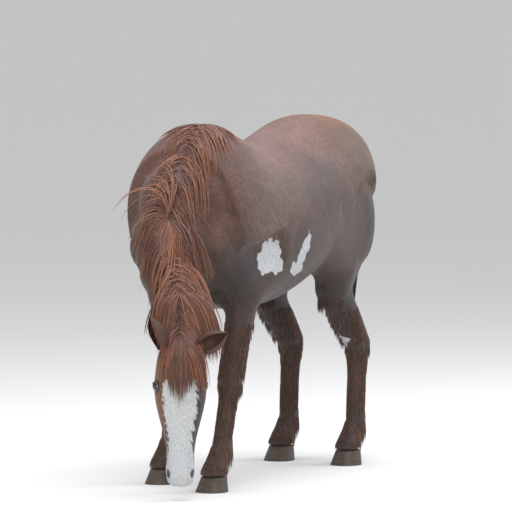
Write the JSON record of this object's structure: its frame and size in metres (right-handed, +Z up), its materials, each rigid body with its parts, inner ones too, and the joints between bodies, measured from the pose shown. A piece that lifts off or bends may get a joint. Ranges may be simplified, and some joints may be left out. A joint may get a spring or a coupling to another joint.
{
  "type": "horse",
  "caption": "Life-size grazing horse with jointed legs, neck, head, jaw, ears, eyes and tail over an inner skeleton.",
  "frame": {"origin": "on the ground, under the middle of the animal's box", "axes": "+X towards the head, +Y the animal's near (left) side, +Z up"},
  "size_m": [2.0743, 0.74, 1.5218],
  "materials": {
    "bone": "matte",
    "coat": "satin",
    "dark_coat": "matte",
    "eye": "gloss",
    "hair": "satin",
    "hoof_horn": "satin",
    "lid_skin": "satin",
    "muscle": "satin",
    "tongue": "satin"
  },
  "bodies": {
    "trunk": {"trunk": "coat", "spine": "bone", "ribs": "bone", "pelvis": "bone", "shoulder_blades": "bone"},
    "neck_root": {"neck_root": "muscle"},
    "lower_neck": {"lower_neck": "coat", "lower_vertebrae": "bone", "lower_mane": "hair"},
    "upper_neck": {"upper_neck": "coat", "upper_vertebrae": "bone", "upper_mane": "hair"},
    "atlas": {"atlas": "muscle"},
    "head": {"head": "coat", "forelock": "hair"},
    "jaw": {"lower_jaw": "coat", "tongue": "tongue"},
    "dock": {"dock": "coat"},
    "tail": {"tail_hair": "hair"},
    "near_eye": {"near_eye": "eye"},
    "near_eyelid": {"near_eyelid": "lid_skin"},
    "near_ear": {"near_ear": "coat"},
    "off_eye": {"off_eye": "eye"},
    "off_eyelid": {"off_eyelid": "lid_skin"},
    "off_ear": {"off_ear": "coat"},
    "near_fore_upper_arm": {"near_fore_upper_arm": "coat", "near_fore_humerus": "bone"},
    "near_fore_forearm": {"near_fore_forearm": "dark_coat", "near_fore_radius": "bone"},
    "near_fore_cannon": {"near_fore_cannon": "dark_coat", "near_fore_cannon_bone": "bone"},
    "near_fore_pastern": {"near_fore_pastern": "dark_coat"},
    "near_fore_hoof": {"near_fore_hoof": "hoof_horn"},
    "off_fore_upper_arm": {"off_fore_upper_arm": "coat", "off_fore_humerus": "bone"},
    "off_fore_forearm": {"off_fore_forearm": "dark_coat", "off_fore_radius": "bone"},
    "off_fore_cannon": {"off_fore_cannon": "dark_coat", "off_fore_cannon_bone": "bone"},
    "off_fore_pastern": {"off_fore_pastern": "dark_coat"},
    "off_fore_hoof": {"off_fore_hoof": "hoof_horn"},
    "near_hind_thigh": {"near_hind_thigh": "coat", "near_hind_femur": "bone"},
    "near_hind_gaskin": {"near_hind_gaskin": "dark_coat", "near_hind_tibia": "bone"},
    "near_hind_cannon": {"near_hind_cannon": "dark_coat", "near_hind_cannon_bone": "bone"},
    "near_hind_pastern": {"near_hind_pastern": "dark_coat"},
    "near_hind_hoof": {"near_hind_hoof": "hoof_horn"},
    "off_hind_thigh": {"off_hind_thigh": "coat", "off_hind_femur": "bone"},
    "off_hind_gaskin": {"off_hind_gaskin": "dark_coat", "off_hind_tibia": "bone"},
    "off_hind_cannon": {"off_hind_cannon": "dark_coat", "off_hind_cannon_bone": "bone"},
    "off_hind_pastern": {"off_hind_pastern": "dark_coat"},
    "off_hind_hoof": {"off_hind_hoof": "hoof_horn"}
  },
  "joints": [
    {"name": "neck_swing", "type": "hinge", "parent": "trunk", "child": "neck_root", "pos_m": [0.53343, -0.04482, 1.192], "axis": [0, 0, 1], "range_deg": [-30, 12]},
    {"name": "neck_lift", "type": "hinge", "parent": "neck_root", "child": "lower_neck", "pos_m": [0.53343, -0.04482, 1.192], "axis": [0.2588, -0.9659, 0], "range_deg": [0, 62]},
    {"name": "neck_bend", "type": "hinge", "parent": "lower_neck", "child": "upper_neck", "pos_m": [0.76607, 0.01752, 0.92443], "axis": [0.6064, 0.5655, 0.5591], "range_deg": [-22, 16]},
    {"name": "head_turn", "type": "hinge", "parent": "upper_neck", "child": "atlas", "pos_m": [0.91735, 0.1586, 0.61766], "axis": [0.4089, 0.3813, -0.8291], "range_deg": [-25, 25]},
    {"name": "head_nod", "type": "hinge", "parent": "atlas", "child": "head", "pos_m": [0.91735, 0.1586, 0.61766], "axis": [0.4695, -0.8829, 0], "range_deg": [-12, 30]},
    {"name": "jaw_open", "type": "hinge", "parent": "head", "child": "jaw", "pos_m": [0.89028, 0.1442, 0.52153], "axis": [-0.4695, 0.8829, 0], "range_deg": [0, 20]},
    {"name": "near_ear_turn", "type": "hinge", "parent": "head", "child": "near_ear", "pos_m": [0.93295, 0.24164, 0.6255], "axis": [-0.2659, 0.8428, 0.4679], "range_deg": [-50, 50]},
    {"name": "near_eye_roll", "type": "hinge", "parent": "head", "child": "near_eye", "pos_m": [0.90819, 0.25905, 0.47293], "axis": [0.0308, 0.0164, -0.9994], "range_deg": [-18, 18]},
    {"name": "near_blink", "type": "hinge", "parent": "head", "child": "near_eyelid", "pos_m": [0.90819, 0.25905, 0.47293], "axis": [-0.8824, -0.4692, -0.0349], "range_deg": [0, 42]},
    {"name": "off_ear_turn", "type": "hinge", "parent": "head", "child": "off_ear", "pos_m": [0.99492, 0.12509, 0.6255], "axis": [0.2545, -0.1719, 0.9517], "range_deg": [-50, 50]},
    {"name": "off_eye_roll", "type": "hinge", "parent": "head", "child": "off_eye", "pos_m": [0.99551, 0.09483, 0.47293], "axis": [0.0308, 0.0164, -0.9994], "range_deg": [-18, 18]},
    {"name": "off_blink", "type": "hinge", "parent": "head", "child": "off_eyelid", "pos_m": [0.99551, 0.09483, 0.47293], "axis": [0.8824, 0.4692, 0.0349], "range_deg": [0, 42]},
    {"name": "near_fore_shoulder", "type": "hinge", "parent": "trunk", "child": "near_fore_upper_arm", "pos_m": [0.52343, 0.12718, 1.01], "axis": [0, 1, 0], "range_deg": [-6, 10]},
    {"name": "near_fore_elbow", "type": "hinge", "parent": "near_fore_upper_arm", "child": "near_fore_forearm", "pos_m": [0.31187, 0.12718, 0.83431], "axis": [0, -1, 0], "range_deg": [0, 14]},
    {"name": "near_fore_knee", "type": "hinge", "parent": "near_fore_forearm", "child": "near_fore_cannon", "pos_m": [0.42663, 0.12718, 0.44591], "axis": [0, 1, 0], "range_deg": [0, 80]},
    {"name": "near_fore_fetlock", "type": "hinge", "parent": "near_fore_cannon", "child": "near_fore_pastern", "pos_m": [0.50173, 0.12718, 0.19178], "axis": [0, 1, 0], "range_deg": [-12, 50]},
    {"name": "near_fore_coffin", "type": "hinge", "parent": "near_fore_pastern", "child": "near_fore_hoof", "pos_m": [0.57442, 0.12718, 0.084], "axis": [0, 1, 0], "range_deg": [-10, 20]},
    {"name": "off_fore_shoulder", "type": "hinge", "parent": "trunk", "child": "off_fore_upper_arm", "pos_m": [0.52343, -0.21682, 1.01], "axis": [0, 1, 0], "range_deg": [-20, 10]},
    {"name": "off_fore_elbow", "type": "hinge", "parent": "off_fore_upper_arm", "child": "off_fore_forearm", "pos_m": [0.29208, -0.21682, 0.86132], "axis": [0, -1, 0], "range_deg": [0, 30]},
    {"name": "off_fore_knee", "type": "hinge", "parent": "off_fore_forearm", "child": "off_fore_cannon", "pos_m": [0.30698, -0.21682, 0.4566], "axis": [0, 1, 0], "range_deg": [0, 80]},
    {"name": "off_fore_fetlock", "type": "hinge", "parent": "off_fore_cannon", "child": "off_fore_pastern", "pos_m": [0.31673, -0.21682, 0.19178], "axis": [0, 1, 0], "range_deg": [-12, 50]},
    {"name": "off_fore_coffin", "type": "hinge", "parent": "off_fore_pastern", "child": "off_fore_hoof", "pos_m": [0.38943, -0.21682, 0.084], "axis": [0, 1, 0], "range_deg": [-10, 20]},
    {"name": "near_hind_hip", "type": "hinge", "parent": "trunk", "child": "near_hind_thigh", "pos_m": [-0.67658, 0.02118, 1.09], "axis": [0, 1, 0], "range_deg": [-20, 24]},
    {"name": "near_hind_stifle", "type": "hinge", "parent": "near_hind_thigh", "child": "near_hind_gaskin", "pos_m": [-0.50601, 0.12718, 0.78437], "axis": [0, 1, 0], "range_deg": [-4, 22]},
    {"name": "near_hind_hock", "type": "hinge", "parent": "near_hind_gaskin", "child": "near_hind_cannon", "pos_m": [-0.74594, 0.12718, 0.51598], "axis": [0, -1, 0], "range_deg": [-6, 33]},
    {"name": "near_hind_fetlock", "type": "hinge", "parent": "near_hind_cannon", "child": "near_hind_pastern", "pos_m": [-0.72327, 0.12718, 0.19178], "axis": [0, 1, 0], "range_deg": [-12, 50]},
    {"name": "near_hind_coffin", "type": "hinge", "parent": "near_hind_pastern", "child": "near_hind_hoof", "pos_m": [-0.65058, 0.12718, 0.084], "axis": [0, 1, 0], "range_deg": [-10, 20]},
    {"name": "off_hind_hip", "type": "hinge", "parent": "trunk", "child": "off_hind_thigh", "pos_m": [-0.67658, -0.11082, 1.09], "axis": [0, 1, 0], "range_deg": [-20, 24]},
    {"name": "off_hind_stifle", "type": "hinge", "parent": "off_hind_thigh", "child": "off_hind_gaskin", "pos_m": [-0.52529, -0.21682, 0.77439], "axis": [0, 1, 0], "range_deg": [-4, 22]},
    {"name": "off_hind_hock", "type": "hinge", "parent": "off_hind_gaskin", "child": "off_hind_cannon", "pos_m": [-0.77594, -0.21682, 0.51598], "axis": [0, -1, 0], "range_deg": [-6, 33]},
    {"name": "off_hind_fetlock", "type": "hinge", "parent": "off_hind_cannon", "child": "off_hind_pastern", "pos_m": [-0.75327, -0.21682, 0.19178], "axis": [0, 1, 0], "range_deg": [-12, 50]},
    {"name": "off_hind_coffin", "type": "hinge", "parent": "off_hind_pastern", "child": "off_hind_hoof", "pos_m": [-0.68058, -0.21682, 0.084], "axis": [0, 1, 0], "range_deg": [-10, 20]},
    {"name": "tail_lift", "type": "hinge", "parent": "trunk", "child": "dock", "pos_m": [-0.96057, -0.04482, 1.226], "axis": [0, 1, 0], "range_deg": [0, 60]},
    {"name": "tail_swing", "type": "hinge", "parent": "dock", "child": "tail", "pos_m": [-0.99183, -0.04482, 1.04873], "axis": [1, 0, 0], "range_deg": [-18, 18]}
  ],
  "couplings": [
    {"joint": "near_hind_hock", "follows": "near_hind_stifle", "ratio": 1.5},
    {"joint": "off_hind_hock", "follows": "off_hind_stifle", "ratio": 1.5}
  ]
}
